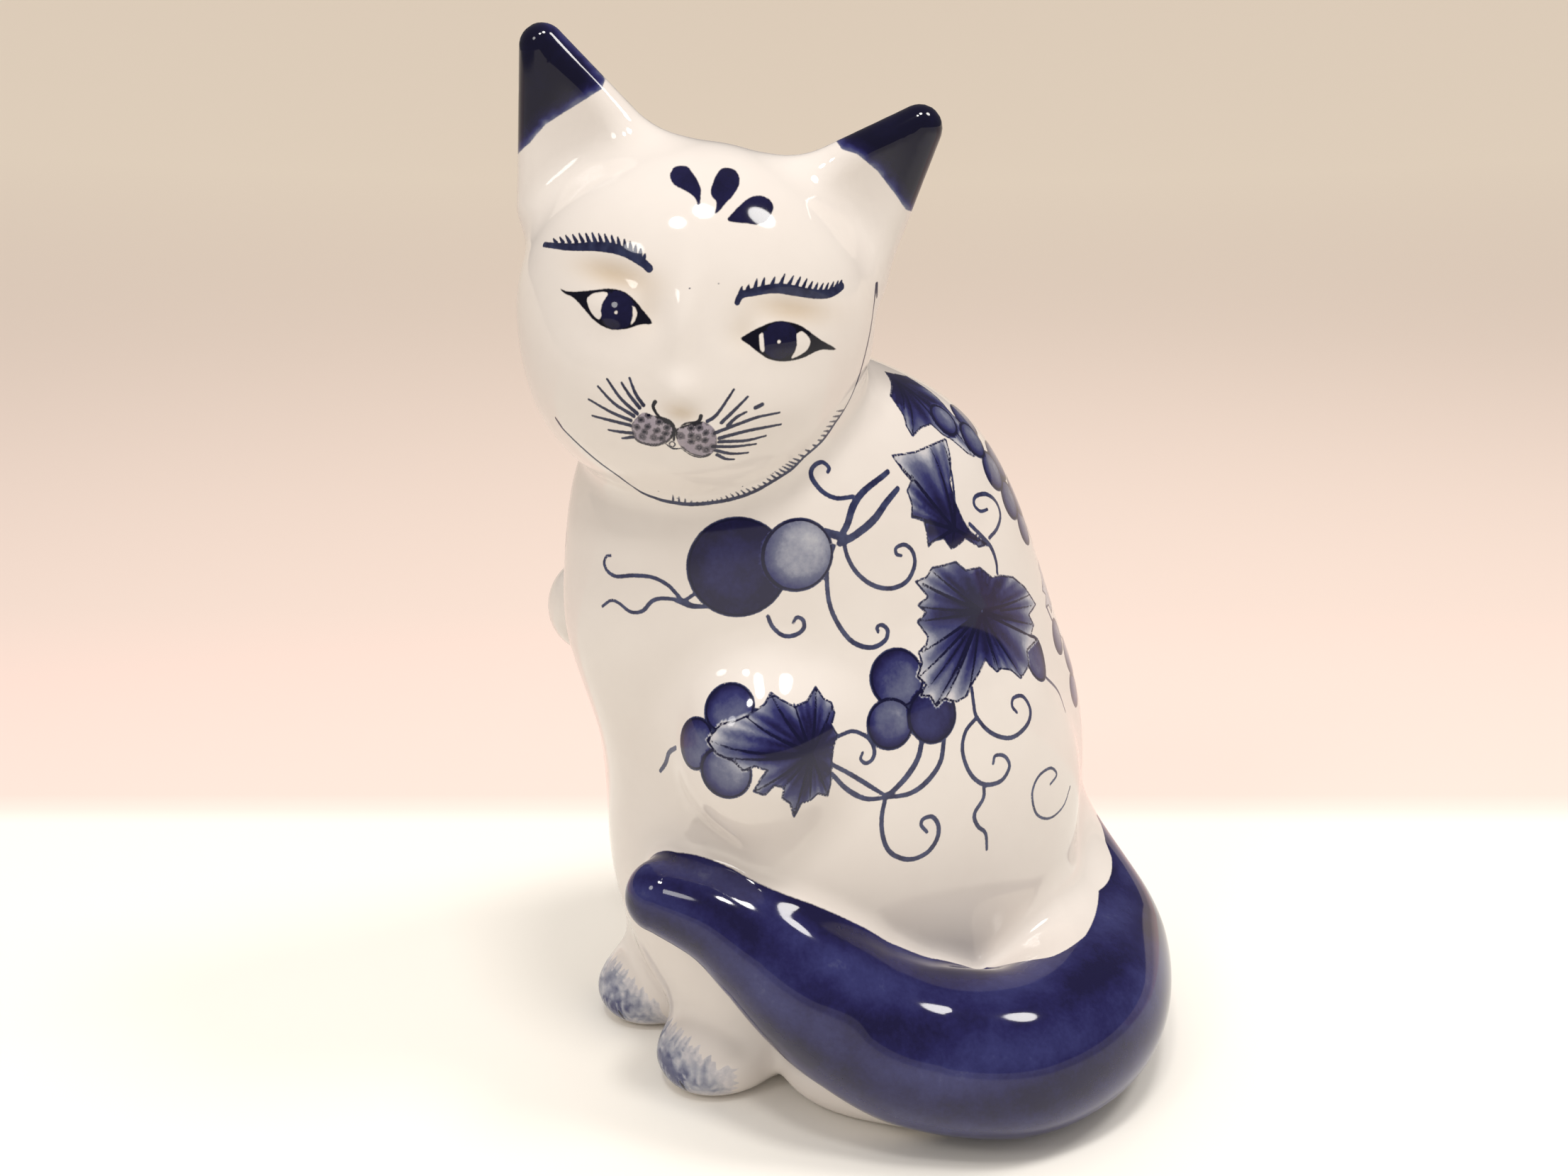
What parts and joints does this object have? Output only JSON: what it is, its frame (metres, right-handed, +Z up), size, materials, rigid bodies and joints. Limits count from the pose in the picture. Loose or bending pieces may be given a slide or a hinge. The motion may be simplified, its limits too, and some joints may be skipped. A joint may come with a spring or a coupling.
{
  "type": "ceramic cat figurine",
  "caption": "Seated porcelain cat with its head turned to one side and its tail wrapped round its flank, hollow-cast, glazed white with blue vine decoration, on a flat foot.",
  "frame": {"origin": "middle of the figure's outline on the plane it stands on", "axes": "+Z up, the cat's body faces -Y and its left side is +X"},
  "size_m": [0.1522, 0.1638, 0.2548],
  "materials": {
    "white_glaze": "clear gloss glaze over white porcelain with underglaze cobalt painting",
    "blue_glaze": "clear gloss glaze over a mottled cobalt wash",
    "bare_clay": "unglazed fired clay"
  },
  "bodies": {
    "root": {"body_shell": "white_glaze", "head_shell": "white_glaze", "left_ear": "white_glaze", "right_ear": "white_glaze", "left_foreleg": "white_glaze", "right_foreleg": "white_glaze", "left_hind_foot": "white_glaze", "right_hind_foot": "white_glaze", "tail": "blue_glaze", "base_disc": "bare_clay"}
  },
  "joints": []
}
